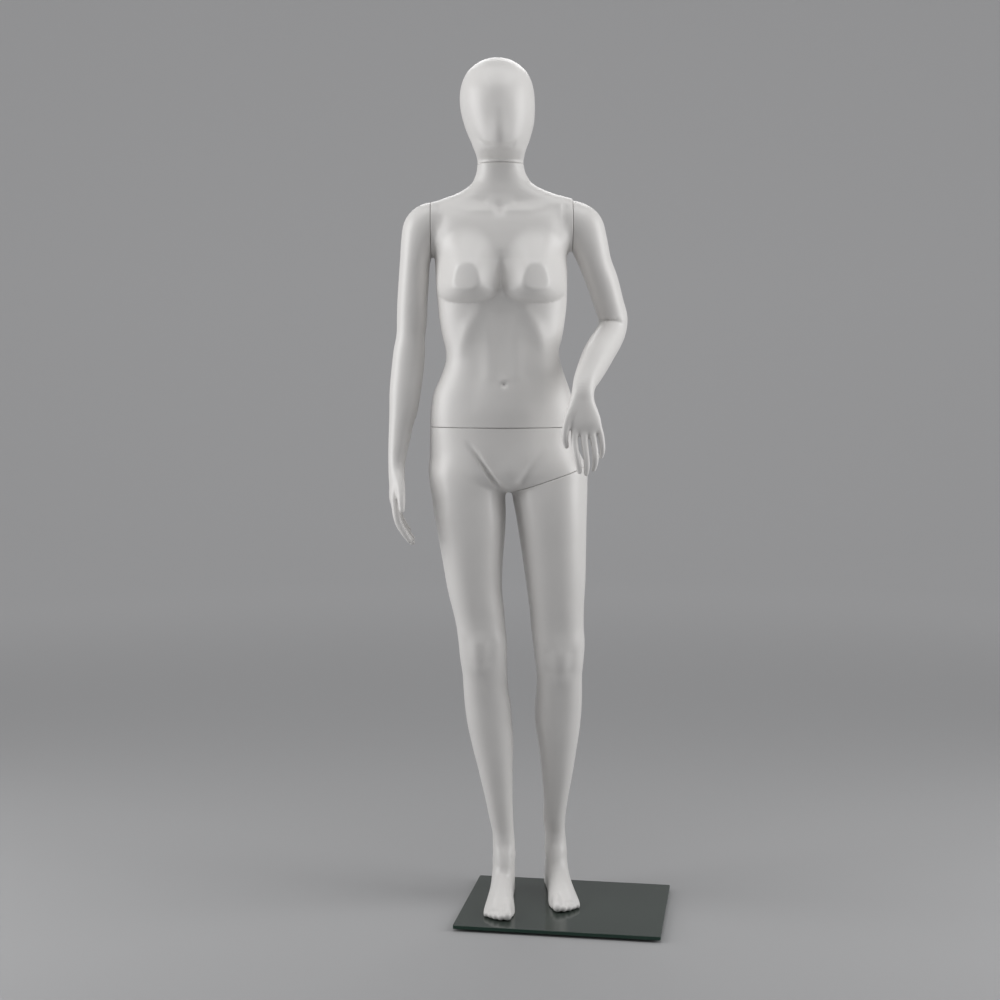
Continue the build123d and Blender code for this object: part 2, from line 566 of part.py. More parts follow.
def main():
    base_nodes, sole_cuts = build_base()
    nodes = {**base_nodes, **build_figure(sole_cuts)}
    boxes = [solid.bounding_box() for solids in nodes.values() for solid in solids]
    low = Vector(*(min(getattr(b.min, c) for b in boxes) for c in "XYZ"))
    high = Vector(*(max(getattr(b.max, c) for b in boxes) for c in "XYZ"))
    to_origin = Pos(-(low.X + high.X) / 2, -(low.Y + high.Y) / 2, -low.Z)
    os.makedirs("parts", exist_ok=True)
    for name, solids in nodes.items():
        placed = [to_origin * s for s in solids]
        export_step(Compound(placed), f"parts/{name}.step")
    planes = {
        "head_turn": neck_plane,
        "waist_turn": waist_plane,
        "right_arm_turn": right_shoulder_plane,
        "left_arm_turn": left_shoulder_plane,
    }
    for name, plane in planes.items():
        place = to_origin.position + plane.origin
        print(name, [round(v / 1000, 5) for v in place], [round(v, 5) for v in plane.z_dir])
    print("shift", to_origin.position, "size", high - low)


main()
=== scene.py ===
"""The display mannequin's looks: its six plastic skins, the materials, the stage and the camera.

Sizes in the tables are millimetres in the figure's own axes: x to the figure's left, y to its
back, height above its soles. Blender's objects are in metres in the row's frame.
"""
import json
import math

import bmesh
import bpy
import numpy as np
import openvdb
from mathutils import Matrix, Vector


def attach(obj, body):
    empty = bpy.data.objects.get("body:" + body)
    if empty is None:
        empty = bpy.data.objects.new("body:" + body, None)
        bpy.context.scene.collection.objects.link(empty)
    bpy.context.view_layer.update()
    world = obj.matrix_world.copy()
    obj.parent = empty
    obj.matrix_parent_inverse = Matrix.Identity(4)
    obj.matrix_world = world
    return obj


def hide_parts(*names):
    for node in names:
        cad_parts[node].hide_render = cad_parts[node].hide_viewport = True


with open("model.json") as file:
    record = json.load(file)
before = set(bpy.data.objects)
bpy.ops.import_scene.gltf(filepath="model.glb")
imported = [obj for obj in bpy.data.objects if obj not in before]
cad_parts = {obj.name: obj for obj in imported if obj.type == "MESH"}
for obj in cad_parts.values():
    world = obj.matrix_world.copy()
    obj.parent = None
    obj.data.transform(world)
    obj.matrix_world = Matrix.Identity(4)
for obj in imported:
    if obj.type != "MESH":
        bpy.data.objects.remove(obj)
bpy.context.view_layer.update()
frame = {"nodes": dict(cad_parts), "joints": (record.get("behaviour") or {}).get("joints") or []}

MM = 0.001
NECK_SEAM = 1536.0
NECK_FITTING = (1.0, 2.0, NECK_SEAM)    # figure coordinates of the head's turning point
WAIST_SEAM = 1002.0
RIGHT_SHOULDER_SEAM = -141.0
LEFT_SHOULDER_SEAM = 148.0
SHOULDER_FITTING = (4.0, 1415.0)        # y, height
SHOULDER_SEAM_FOOT = 1250.0             # the shoulder seams cut above this height
GROIN_SEAM_START = (36.0, 873.0)        # x, height
GROIN_SEAM_SLOPE = math.radians(19.0)
GROIN_FITTING_ALONG = 74.0
CROTCH_X = 20.0
LEG_GAP_LEAN = 0.05                     # the gap between the legs, sideways for each step down
SEAM_GAP = 1.0
SMALL_RECESS = 24.1                     # radius of a fitting's recess
WAIST_RECESS = 45.1
RECESS_DEPTH = 2.2
SEAM_EDGE = 0.8                         # width of the rounded edge along a seam
SHARP_ANGLE = math.radians(50)
HEAD_VOXEL = 2.0                        # the clay's grain
BODY_VOXEL = 2.6
ARM_VOXEL = 1.9
SMOOTHING = 2                           # passes over each mesh
FAR_AWAY = 60.0                         # distance that empty clay starts with

CAMERA_PLACE = (0.0, -3360.0, 1140.7)
CAMERA_PITCH = 4.96                     # degrees down
CAMERA_LENS = 58.5
SENSOR_WIDTH = 36
# Lights, in metres in the row's frame: place, the point faced, width and height.
SIDE_BOX = ((2.3, -0.3, 1.5), (0, 0, 1.1), (1.5, 2.3))      # mirrored for the other side
OVERHEAD_BOX = ((0, -0.6, 3.2), (0, 0, 1.1), (2.6, 1.3))
BACK_BOX = ((0, 2.6, 3.3), (0, 0, 1.05), (2.4, 1.2))
SIDE_POWER = 35                         # watts
TOP_POWER = 19
BACK_POWER = 22
FILL_STRENGTH = 0.17
FILL_COLOUR = (0.97, 0.98, 1, 1)
WALL_GLOW = 0.42                        # light of its own that the far stage adds
GLOW_REACH = (1.2, 5.0)                 # metres out, where that starts and is full
STAGE_FLAT = 5.0                        # metres
STAGE_CURVE = 1.6
STAGE_HEIGHT = 5.0
STAGE_SIDES = 96
STAGE_STEPS = 12                        # in its curve
STAGE_COLOUR = (0.40, 0.40, 0.405, 1)

HEAD_TURN = next(joint for joint in frame["joints"] if joint["name"] == "head_turn")
ORIGIN = np.array(HEAD_TURN["pos_m"]) - np.array(NECK_FITTING) * MM


def place(x, y, height):
    """A point of the figure in the row's frame."""
    return Vector(ORIGIN + np.array((x, y, height)) * MM)


# ---------------------------------------------------------------- the figure's sections
# Level sections: height, middle x, half width, y of the front, y of the back.
HEAD = [
    (1500, 3, 60, -46, 54), (1520, 1.5, 49, -45, 50), (1536, 1, 47, -44, 50),
    (1543, 1, 47, -46, 50), (1549, 1, 48, -62, 52), (1556, 0.5, 50, -80, 57),
    (1566, 0, 53.5, -91, 65), (1580, 0, 59, -98, 74), (1596, -1, 65, -102, 81),
    (1614, -2, 70.5, -104, 87), (1636, -4, 74.5, -105, 91), (1660, -5.5, 76, -103, 92),
    (1685, -6, 74, -97, 89), (1705, -6, 68, -87, 82), (1722, -6, 57.5, -73, 70),
    (1736, -6, 40.5, -52, 51), (1744, -6, 24, -31, 31), (1748, -6, 7, -9, 9),
]
TORSO = [
    (960, 8, 152, -97, 109), (985, 7, 150.5, -97, 98), (1002, 6, 150, -96, 91),
    (1040, 5, 147, -95, 79), (1073, 4.5, 140, -92, 70), (1106, 6, 127, -88, 64),
    (1139, 6, 117, -86, 62), (1155, 5, 116, -86, 63), (1188, 5, 123, -88, 67),
    (1221, 4.5, 128.5, -91, 73), (1253, 4.5, 132, -94, 79), (1286, 3.5, 134, -93, 84),
    (1319, 3, 135, -90, 87), (1351, 2, 136, -85, 89), (1380, 3, 146, -79, 88),
    (1405, 4, 155, -73, 84), (1428, 5, 158, -65, 78), (1445, 8, 153, -56, 71),
    (1458, 13, 147, -51, 66), (1467, 14, 130, -48, 62), (1474, 12, 108, -46.5, 60),
    (1481, 9, 90, -46, 58),
    (1496, 4.5, 64, -45, 55), (1512, 2.5, 53, -45, 52), (1536, 1, 47, -44, 50),
    (1560, 1, 46, -46, 50),
]
PELVIS = [
    (868, 18, 26, -34, 58), (872, 18, 60, -58, 82), (878, 18, 100, -74, 102),
    (888, 17.5, 138, -87, 114), (900, 17, 154, -93, 120), (924, 14, 160, -97, 121),
    (941, 10.5, 156.5, -98, 116), (974, 7, 151.5, -97, 104), (1002, 6, 150, -96, 91),
    (1040, 5, 147, -95, 79),
]
RIGHT_LEG = [
    (30, 9, 20, -18, 75), (60, 9, 22.5, -16, 76), (80, 8.5, 23, -12, 72),
    (95, 8.5, 23.5, -7, 69), (115, 8, 23.5, 1, 66), (134, 7, 23, 3, 63),
    (169, 2.5, 25.5, 0, 61), (205, -1.5, 28.5, -5, 61), (240, -5.5, 32.5, -10, 63),
    (275, -9.5, 36.5, -16, 67), (310, -13.5, 41.5, -22, 72), (345, -17.5, 45.5, -27, 76),
    (380, -22.5, 47.5, -32, 77), (415, -25.5, 48.5, -37, 74), (449, -29.5, 47, -44, 66),
    (484, -31.5, 47, -52, 55), (518, -34, 49, -61, 48), (553, -36, 50.5, -66, 47),
    (587, -40, 51, -68, 51), (621, -45, 53.5, -72, 57), (655, -51, 56, -76, 64),
    (723, -56.5, 62.5, -84, 75), (791, -60, 71, -90, 85), (824, -62.5, 74.5, -92, 93),
    (858, -65.2, 76.3, -92, 104), (880, -67, 78.5, -91, 112), (915, -72, 74, -86, 108),
    (960, -64, 58, -70, 78),
]
LEFT_LEG = [
    (30, 121, 20, 28, 126), (60, 121, 22, 34, 125), (75, 121, 23, 38, 122),
    (89, 121, 23, 43, 120), (105, 120, 22.5, 50, 117), (121, 119, 22, 52, 115),
    (157, 117, 24, 44, 109), (193, 119.5, 25.5, 36, 106), (230, 121.5, 29.5, 27, 104),
    (266, 123, 34, 18, 103), (302, 123.5, 38.5, 9, 102), (337, 123.5, 43.5, -1, 101),
    (373, 123, 48, -10, 98), (408, 123.5, 49.5, -19, 91), (444, 125, 48, -29, 79),
    (479, 125, 47.5, -40, 66), (514, 124, 51, -51, 59), (549, 123, 54, -56, 60),
    (584, 120, 55, -59, 63), (618, 118.5, 56.5, -64, 68), (687, 115.5, 62.5, -75, 78),
    (756, 111, 68, -83, 87), (824, 106, 74, -90, 96), (857, 103.5, 77.5, -91, 104),
    (880, 103.3, 78.2, -90, 111), (915, 105, 74, -86, 108), (960, 92, 56, -70, 78),
]
# Limbs down to the knuckles: x, y, height, half width across, half width fore and aft.
RIGHT_ARM = [
    (-96, 2, 1424, 30, 38), (-120, 3, 1423, 34, 42), (-142, 3, 1420, 39, 45),
    (-158, 3, 1404, 41, 46), (-168, 3, 1376, 35, 46), (-174, 3, 1340, 31, 45),
    (-177, 3, 1300, 31, 42), (-180, 3, 1254, 31, 40), (-181, 3, 1221, 31, 38),
    (-183.5, 2, 1188, 29.5, 36), (-186.5, -1, 1155, 32.5, 37), (-190.5, -5, 1115, 33, 37),
    (-195, -10, 1073, 32, 36), (-198, -15, 1040, 29.5, 33), (-203, -19, 1008, 25, 30),
    (-207, -23, 975, 22, 28), (-211, -27, 942, 18.5, 26), (-212, -30, 922, 17, 27),
    (-212, -33, 902, 16.5, 31), (-212, -37, 880, 15, 36), (-214, -41, 858, 13, 38),
    (-214, -43, 844, 10, 37),
]
LEFT_ARM = [
    (104, 2, 1424, 30, 38), (126, 3, 1426, 36, 42), (148, 4, 1423, 40, 45),
    (168, 6, 1408, 44, 46), (182, 9, 1378, 39, 46), (196, 15, 1338, 33.5, 45),
    (211, 23, 1300, 33, 42), (226, 33, 1254, 31, 40), (235, 41, 1226, 30, 36),
    (233, 36, 1202, 29.5, 33), (221, 10, 1180, 30.5, 33), (206, -22, 1159, 31, 34),
    (193, -57, 1138, 30, 33), (180, -94, 1115, 27, 29), (169, -126, 1095, 23.5, 24),
    (164, -145, 1076, 22, 18), (163, -151, 1056, 24, 15), (165, -155, 1034, 29, 13.5),
    (169, -157, 1012, 31, 12), (172, -156, 992, 27, 7.5),
]
# Fingers and toes: x, y, height, radius, from the root to the tip.
RIGHT_FINGERS = [
    [(-213, -66, 880, 7), (-213, -71, 856, 8.6), (-211, -75, 832, 8.2), (-206, -77, 810, 7.6),
     (-195, -77, 790, 7), (-184, -75, 773, 5.6)],
    [(-213, -52, 880, 7), (-214, -55, 854, 8.8), (-211, -57, 826, 8.4), (-205, -58, 803, 7.8),
     (-192, -57, 784, 7.2), (-179, -55, 767, 5.8)],
    [(-213, -36, 880, 7), (-214, -37, 854, 8.6), (-211, -38, 828, 8.2), (-204, -39, 806, 7.6),
     (-192, -38, 788, 7), (-180, -36, 772, 5.6)],
    [(-212, -21, 878, 6), (-213, -19, 854, 7.6), (-210, -18, 833, 7.2), (-205, -18, 815, 6.6),
     (-197, -18, 801, 6), (-188, -17, 789, 4.8)],
    [(-209, -42, 922, 9), (-205, -62, 897, 11), (-201, -79, 874, 9.4), (-199, -90, 853, 8),
     (-198, -95, 836, 5.8)],
]
LEFT_FINGERS = [
    [(154, -156, 1030, 6), (149, -158, 1004, 7.8), (147, -162, 978, 7.2), (150, -167, 955, 6.5),
     (154, -167, 935, 6), (157, -164, 919, 4.9)],
    [(165, -156, 1030, 6), (165, -158, 1002, 8), (167, -162, 974, 7.2), (170, -166, 949, 6.6),
     (171, -166, 930, 6.1), (170, -162, 915, 5)],
    [(176, -156, 1030, 6), (180, -157, 1002, 7.8), (185, -160, 976, 7), (188, -163, 954, 6.4),
     (188, -162, 937, 5.9), (185, -159, 923, 4.7)],
    [(186, -155, 1030, 6), (195, -155, 1004, 7), (200, -157, 985, 6.3), (202, -158, 971, 5.7),
     (202, -157, 958, 5.3), (200, -154, 948, 4.3)],
    [(154, -150, 1068, 9), (144, -155, 1044, 10.5), (134, -160, 1022, 8.6), (129, -161, 1000, 7.2),
     (128, -159, 983, 6.6), (131, -156, 969, 5.2)],
]
# A foot in its own axes: distance from the heel, half width, height of the upper.
FOOT = [
    (0, 10, 22), (5, 17, 42), (16, 23, 60), (42, 24.5, 78), (76, 24.5, 76),
    (104, 26, 58), (132, 29, 43), (158, 31.5, 32), (182, 32, 24), (198, 29, 18),
]
# Toes: distance of the tip from the heel, sideways place towards the big toe, radius.
TOES = [(226, 19, 10.5), (224, 5.5, 8), (219, -6, 7.5), (211, -16, 7), (202, -25, 6.8)]
LEFT_ELBOW_CREASE = [(212, 0, 1220), (252, 2, 1220)]
CREASE_FILL = (9, 2)                        # width, height
BREAST_HEIGHT = 1296.0
BREAST_CENTRES = [(-68.0, -1), (73.0, 1)]   # x, and the sign of outwards
BREAST_REACH = (69.0, 66.0, 112.0, 43.0)    # inwards, outwards, up, down
BREAST_FORWARD = 53.0
BREAST_SQUARE = 2.5                         # 2 is an ellipse, more is boxier
BREAST_FLAT = 0.80                          # share of it at which the apex is flat
BREAST_EDGE = 0.05                          # softness of the flat's edge
BREAST_CHANGE = 90                          # height over which the dome gives way to the slope
# Heels: x, y, turn in degrees and the sign of outwards.
HEELS = {"right": (9.0, 82.0, -3.5, -1), "left": (119.0, 133.0, 5.0, 1)}


# ---------------------------------------------------------------- clay
def curve(knots, values, at):
    """A smooth curve through values at knots, held at its ends."""
    knots, values = np.asarray(knots, float), np.asarray(values, float)
    slopes = np.gradient(values, knots)
    span = np.clip(np.searchsorted(knots, at) - 1, 0, len(knots) - 2)
    length = knots[span + 1] - knots[span]
    t = np.clip((at - knots[span]) / length, 0, 1)
    start, end = values[span], values[span + 1]
    rise = end - start
    lean_in, lean_out = slopes[span] * length, slopes[span + 1] * length
    return (start + lean_in * t + (3 * rise - 2 * lean_in - lean_out) * t**2
            + (lean_in + lean_out - 2 * rise) * t**3)


def oval_distance(u, v, half_u, half_v, power=2.3):
    """About how far outside a slightly squared oval a point lies, below 0 inside."""
    across, along = np.abs(u) / half_u, np.abs(v) / half_v
    reach = np.maximum((across**power + along**power) ** (1 / power), 1e-3)
    slope = np.sqrt(
        ((across / reach) ** (power - 1) / half_u) ** 2
        + ((along / reach) ** (power - 1) / half_v) ** 2
    )
    return (reach - 1) / slope


def smooth_union(a, b, blend):
    """The union of two distances, its crease filled over a blend width."""
    share = np.clip(0.5 + 0.5 * (b - a) / blend, 0, 1)
    return b + (a - b) * share - blend * share * (1 - share)


class Clay:
    """A block of space that holds how far each point is from the modelled surface."""

    def __init__(self, low, high, step):
        self.low, self.step = np.array(low, float), step
        counts = np.ceil((np.array(high) - self.low) / step).astype(int) + 1
        self.distance = np.full(counts, FAR_AWAY, np.float32)
        self.axes = [self.low[i] + step * np.arange(counts[i]) for i in range(3)]

    def region(self, low, high):
        """The part of the block in a box: its slices and its coordinates."""
        slices, coordinates = [], []
        for i, axis in enumerate(self.axes):
            first, last = np.searchsorted(axis, [low[i], high[i]])
            slices.append(slice(first, max(last, first)))
            shape = [1, 1, 1]
            shape[i] = -1
            coordinates.append(axis[first:last].astype(np.float32).reshape(shape))
        return tuple(slices), coordinates

    def add(self, shape, low, high, blend):
        """Joins a shape, a function of x, y and height, within a box."""
        slices, coordinates = self.region(low, high)
        if min(c.size for c in coordinates):
            here = shape(*coordinates)
            self.distance[slices] = smooth_union(self.distance[slices], here, blend)

    def press(self, points, width, heights, lean=1.0):
        """Raises, or with a height below 0 sinks, a soft ridge along a line of points.
        heights is one number or one for each point. A lean under 1 reaches further in y."""
        points = [np.array(p, float) for p in points]
        heights = np.broadcast_to(np.array(heights, float), len(points))
        reach = 2.6 * width
        low = np.min(points, 0) - (reach, reach / lean, reach)
        high = np.max(points, 0) + (reach, reach / lean, reach)
        slices, (x, y, z) = self.region(low, high)
        if not min(x.size, y.size, z.size):
            return
        last = len(points) - 1
        nearest = None
        for i in range(max(last, 1)):
            a, b = points[i], points[min(i + 1, last)]
            along = b - a
            length = max(along @ along, 1e-9)
            t = ((x - a[0]) * along[0] + (y - a[1]) * along[1] + (z - a[2]) * along[2]) / length
            t = np.clip(t, 0, 1)
            gap = ((x - a[0] - t * along[0]) ** 2 + ((y - a[1] - t * along[1]) * lean) ** 2
                   + (z - a[2] - t * along[2]) ** 2)
            height = heights[i] + (heights[min(i + 1, last)] - heights[i]) * t
            if nearest is None:
                nearest, amount = gap, height
            else:
                amount = np.where(gap < nearest, height, amount)
                nearest = np.minimum(nearest, gap)
        self.distance[slices] -= amount * np.exp(-nearest / width**2)

    def column(self, stations, blend, power=2.3, push=None):
        """Joins level sections. push tells how far the front comes forward at x and height."""
        knots, middle, half, front, back = np.array(stations, float).T

        def shape(x, y, z):
            level = z.ravel()
            depth = (curve(knots, back, level) - curve(knots, front, level)) / 2
            centre_y = (curve(knots, back, level) + curve(knots, front, level)) / 2
            if push:
                forward = push(x, z) * np.clip(-y / 40, 0, 1)
                y = y + forward
            sides = oval_distance(
                x - curve(knots, middle, level), y - centre_y, curve(knots, half, level), depth, power
            )
            beyond = np.maximum(knots[0] - z, z - knots[-1])
            return np.where(beyond > 0, np.hypot(np.maximum(sides, 0), beyond), np.maximum(sides, beyond))

        margin = 55 if push is None else 95
        low = (min(middle - half) - margin, min(front) - margin, knots[0] - 40)
        high = (max(middle + half) + margin, max(back) + margin, knots[-1] + 40)
        self.add(shape, low, high, blend)

    def limb(self, stations, blend, power=2.15, detail=5):
        """Joins sections square to a bent line."""
        table = np.array(stations, float)
        knots = np.arange(len(table))
        at = np.linspace(0, len(table) - 1, (len(table) - 1) * detail + 1)
        smooth = np.array([curve(knots, table[:, i], at) for i in range(5)]).T
        centres = smooth[:, :3]
        along = np.gradient(centres, axis=0)
        along /= np.linalg.norm(along, axis=1, keepdims=True)
        side = np.array([1.0, 0, 0]) - along * along[:, :1]
        side /= np.linalg.norm(side, axis=1, keepdims=True)
        front = np.cross(along, side)
        margin = float(table[:, 3:].max()) + 12
        low, high = centres.min(0) - margin, centres.max(0) + margin

        def shape(x, y, z):
            best, slot = None, None
            for i, (cx, cy, cz) in enumerate(centres):
                gap = (x - cx) ** 2 + (y - cy) ** 2 + (z - cz) ** 2
                if best is None:
                    best, slot = gap, np.zeros(gap.shape, np.int16)
                else:
                    nearer = gap < best
                    best = np.where(nearer, gap, best)
                    slot[nearer] = i
            offset = [c - centres[slot, i] for i, c in enumerate((x, y, z))]
            ahead = sum(offset[i] * along[slot, i] for i in range(3))
            u = sum(offset[i] * side[slot, i] for i in range(3))
            v = sum(offset[i] * front[slot, i] for i in range(3))
            spacing = np.linalg.norm(np.gradient(centres, axis=0), axis=1)[slot]
            fine = np.clip(slot + ahead / spacing, 0, len(centres) - 1)
            places = np.arange(len(centres))
            half_u = np.interp(fine, places, smooth[:, 3])
            half_v = np.interp(fine, places, smooth[:, 4])
            inside = oval_distance(u, v, half_u, half_v, power)
            beyond = np.where(slot == 0, -ahead, np.where(slot == len(centres) - 1, ahead, 0))
            rounded = np.sqrt(u**2 + v**2 + ahead**2) - np.minimum(half_u, half_v)
            return np.where(beyond > 0, np.maximum(inside, rounded), inside)

        self.add(shape, low, high, blend)

    def digit(self, stations, blend):
        """Joins a finger or a toe: round sections and a round tip."""
        self.limb([(x, y, z, r, r) for x, y, z, r in stations], blend, power=2.0, detail=4)

    def cut_below(self, height):
        """Removes what is under a level."""
        level = self.axes[2].reshape(1, 1, -1)
        self.distance = np.maximum(self.distance, height - level).astype(np.float32)

    def mesh(self, name):
        """The surface as a Blender object in the row's frame."""
        band = 3 * self.step
        grid = openvdb.FloatGrid(band)
        grid.copyFromArray(np.clip(self.distance, -band, band))
        points, triangles, quads = grid.convertToPolygons(0.0)
        points = (points * self.step + self.low) * MM + ORIGIN
        faces = [list(reversed(q)) for q in quads.tolist()]
        faces += [list(reversed(t)) for t in triangles.tolist()]
        data = bpy.data.meshes.new(name)
        data.from_pydata(points.tolist(), [], faces)
        made = bpy.data.objects.new(name, data)
        bpy.context.scene.collection.objects.link(made)
        shape = bmesh.new()
        shape.from_mesh(data)
        for _ in range(SMOOTHING):
            bmesh.ops.smooth_vert(
                shape, verts=shape.verts, factor=0.5, use_axis_x=True, use_axis_y=True, use_axis_z=True
            )
        bmesh.ops.recalc_face_normals(shape, faces=shape.faces)
        shape.to_mesh(data)
        shape.free()
        return made


# ---------------------------------------------------------------- seams
def seam(x, y, height, normal):
    """A seam plane in the row's frame. Its normal points into the piece it trims."""
    return place(x, y, height), Vector(normal).normalized()


def fill_face(shape, edges, normal):
    """Fills a flat outline, with any hole in it, with triangles that face a way."""
    filled = bmesh.ops.triangle_fill(shape, edges=edges, use_beauty=True, use_dissolve=False)["geom"]
    faces = [g for g in filled if isinstance(g, bmesh.types.BMFace)]
    for face in faces:
        face.normal_update()
        if face.normal.dot(normal) < 0:
            face.normal_flip()
    return faces


def close_seam(shape, rim, point, normal, recess):
    """Rounds a cut skin over its seam edge, and closes it with a flat face."""
    grown = bmesh.ops.extrude_edge_only(shape, edges=rim)["geom"]
    lip = [g for g in grown if isinstance(g, bmesh.types.BMVert)]
    edges = [g for g in grown if isinstance(g, bmesh.types.BMEdge) and g.is_boundary]
    middle = sum((v.co for v in lip), Vector()) / len(lip)
    shape.normal_update()
    for vertex in lip:
        outward = vertex.co - middle
        outward -= normal * outward.dot(normal)
        level = (vertex.co - point).dot(normal)
        vertex.co -= normal * level + outward.normalized() * SEAM_EDGE * MM
    if recess:
        turn = normal.to_track_quat("Z", "Y").to_matrix().to_4x4()
        circle = bmesh.ops.create_circle(
            shape, segments=64, radius=recess * MM, matrix=Matrix.Translation(point) @ turn
        )["verts"]
        ring = list(dict.fromkeys(e for v in circle for e in v.link_edges))
        fill_face(shape, edges + ring, -normal)
        wall = bmesh.ops.extrude_edge_only(shape, edges=ring)["geom"]
        floor = [g for g in wall if isinstance(g, bmesh.types.BMVert)]
        bmesh.ops.translate(shape, verts=floor, vec=normal * RECESS_DEPTH * MM)
        edges = [g for g in wall if isinstance(g, bmesh.types.BMEdge) and g.is_boundary]
    fill_face(shape, edges, -normal)


def trim(piece, plane, recess=None, keep=None):
    """Cuts a skin back from a seam plane and closes it. keep says, from a face's centre,
    whether the cut may touch that face."""
    point, normal = plane
    point = point + normal * SEAM_GAP / 2 * MM
    shape = bmesh.new()
    shape.from_mesh(piece.data)
    faces = shape.faces[:] if keep is None else [f for f in shape.faces if keep(f.calc_center_median())]
    # In the faces' own order. A set's order changes from run to run.
    geometry = list(dict.fromkeys(g for f in faces for g in (*f.verts, *f.edges))) + faces
    bmesh.ops.bisect_plane(
        shape, geom=geometry, plane_co=point + normal * SEAM_EDGE * MM, plane_no=normal,
        clear_inner=True, dist=1e-6,
    )
    rim = [e for e in shape.edges if e.is_boundary]
    if rim:
        close_seam(shape, rim, point, normal, recess)
    bmesh.ops.recalc_face_normals(shape, faces=shape.faces)
    shape.to_mesh(piece.data)
    shape.free()


# ---------------------------------------------------------------- modelling
def breast_push(x, z, centre_x, side):
    """How far one breast stands forward: round and folded below, running out above."""
    across, up = (x - centre_x) * side, z - BREAST_HEIGHT
    inner, outer, above, below = BREAST_REACH
    reach_x = np.where(across > 0, outer, inner)
    reach_z = np.where(up > 0, above, below)
    radius = (np.abs(across / reach_x) ** BREAST_SQUARE
              + np.abs(up / reach_z) ** BREAST_SQUARE) ** (1 / BREAST_SQUARE)
    share = np.clip(0.5 + up / BREAST_CHANGE, 0, 1)
    dome = np.clip(1 - radius**2.2, 0, 1) ** 0.8
    slope = np.cos(np.clip(radius, 0, 1) * math.pi / 2) ** 2
    push = dome * (1 - share) + slope * share
    return BREAST_FORWARD * smooth_union(push, BREAST_FLAT, BREAST_EDGE)


def chest_push(x, z):
    """Both breasts."""
    return sum(breast_push(x, z, centre, side) for centre, side in BREAST_CENTRES)


def shoulders(clay):
    """Both upper arms, so that the armholes match."""
    for arm in (RIGHT_ARM, LEFT_ARM):
        clay.limb(arm[:7], 14)


def chest_details(clay):
    """Collar bones, hollows, rib arch, belly muscles and navel."""
    for side in (-1, 1):
        bone = [(side * 16, -58, 1440), (side * 60, -64, 1441), (side * 118, -48, 1452)]
        clay.press(bone, 8, [3, 2.4, 1.2], 0.5)
        clay.press([(side * 34, -50, 1458), (side * 84, -48, 1464)], 10, [-3, -1.5], 0.5)
        clay.press([(side * 122, -68, 1420), (side * 124, -70, 1392)], 16, [-3.5, -2], 0.5)
    clay.press([(-1, -54, 1446)], 13, -4.5, 0.5)
    clay.press([(2, -84, 1350), (2, -92, 1310), (2, -92, 1278)], 7, [-2, -9, -5], 0.6)
    clay.press([(5, -92, 1232), (6, -90, 1190)], 32, [-8, -4], 0.5)
    for side, x in ((-1, -6), (1, 16)):
        arch = [(x + side * 34, -92, 1236), (x + side * 58, -90, 1204), (x + side * 76, -84, 1160)]
        clay.press(arch, 15, [3, 4.2, 2], 0.5)
        clay.press([(x + side * 14, -92, 1216), (x + side * 16, -92, 1110)], 13, [1.2, 2], 0.5)
        groove = [(x + side * 42, -88, 1170), (x + side * 42, -92, 1110), (x + side * 50, -92, 1060)]
        clay.press(groove, 18, [-2, -2.4, -1.2], 0.5)
    clay.press([(8, -94, 1070), (10, -96, 1040)], 44, 2.5, 0.5)
    clay.press([(8, -92, 1089)], 5, -7, 0.5)
    clay.press([(8, -94, 1099)], 9, 1.6, 0.5)


def back_details(clay):
    """Spine groove, shoulder blades and the small of the back."""
    spine = [(3, 80, 1450), (3, 88, 1360), (4, 76, 1250), (5, 64, 1150), (6, 66, 1080), (7, 88, 1010)]
    clay.press(spine, 16, [-1, -4, -5, -6, -5, -3], 0.5)
    for side in (-1, 1):
        blade = [(4 + side * 88, 76, 1420), (4 + side * 56, 86, 1380), (4 + side * 50, 90, 1320)]
        clay.press(blade, 24, [2, 4.5, 3], 0.6)
        clay.press([(5 + side * 34, 66, 1150), (5 + side * 36, 76, 1070)], 22, [2, 3], 0.6)


def hip_details(clay):
    """Groin creases, pubic mound, buttocks' cleft and the folds under them."""
    right_crease = [(-66, -84, 972), (-46, -92, 946), (-22, -88, 908), (3, -78, 874)]
    left_crease = [(92, -86, 962), (66, -92, 926), (48, -86, 898), (36, -76, 874)]
    clay.press(right_crease, 5, [-1, -6, -12, -12], 0.4)
    clay.press(left_crease, 9, [0, -3, -6, -7], 0.4)
    clay.press([(19, -94, 916), (19, -84, 888)], 22, [3.5, 2.5], 0.5)
    clay.press([(-54, -94, 900)], 34, 2.5, 0.5)
    clay.press([(11, 100, 975), (15, 122, 940), (17, 124, 905), (18, 96, 872)], 12, [-2, -9, -14, -10], 0.5)
    for centre in (-54, 88):
        clay.press([(centre, 118, 925)], 44, 4, 0.6)
        fold = [(centre - 44, 104, 858), (centre, 108, 850), (centre + 44, 104, 858)]
        clay.press(fold, 12, [-2, -5, -2], 0.5)


def leg_details(clay, knee, side, ankle):
    """Knee cap, the dents beside it, the shin and the ankle bones. side points outwards."""
    x, y, height = knee
    clay.press([(x, y, height + 8), (x, y + 3, height - 14)], 19, [3, 2.5], 0.6)
    for dent in (-1, 1):
        clay.press([(x + dent * 25, y + 8, height + 10), (x + dent * 22, y + 12, height - 26)], 11, -2, 0.5)
    clay.press([(x, y + 10, height - 46)], 12, 2, 0.6)
    clay.press([(x, y, height + 62)], 30, -1.5, 0.5)
    x, y = ankle
    clay.press([(x - side * 23, y - 2, 86)], 11, 2)
    clay.press([(x + side * 23, y + 4, 74)], 11, 2)


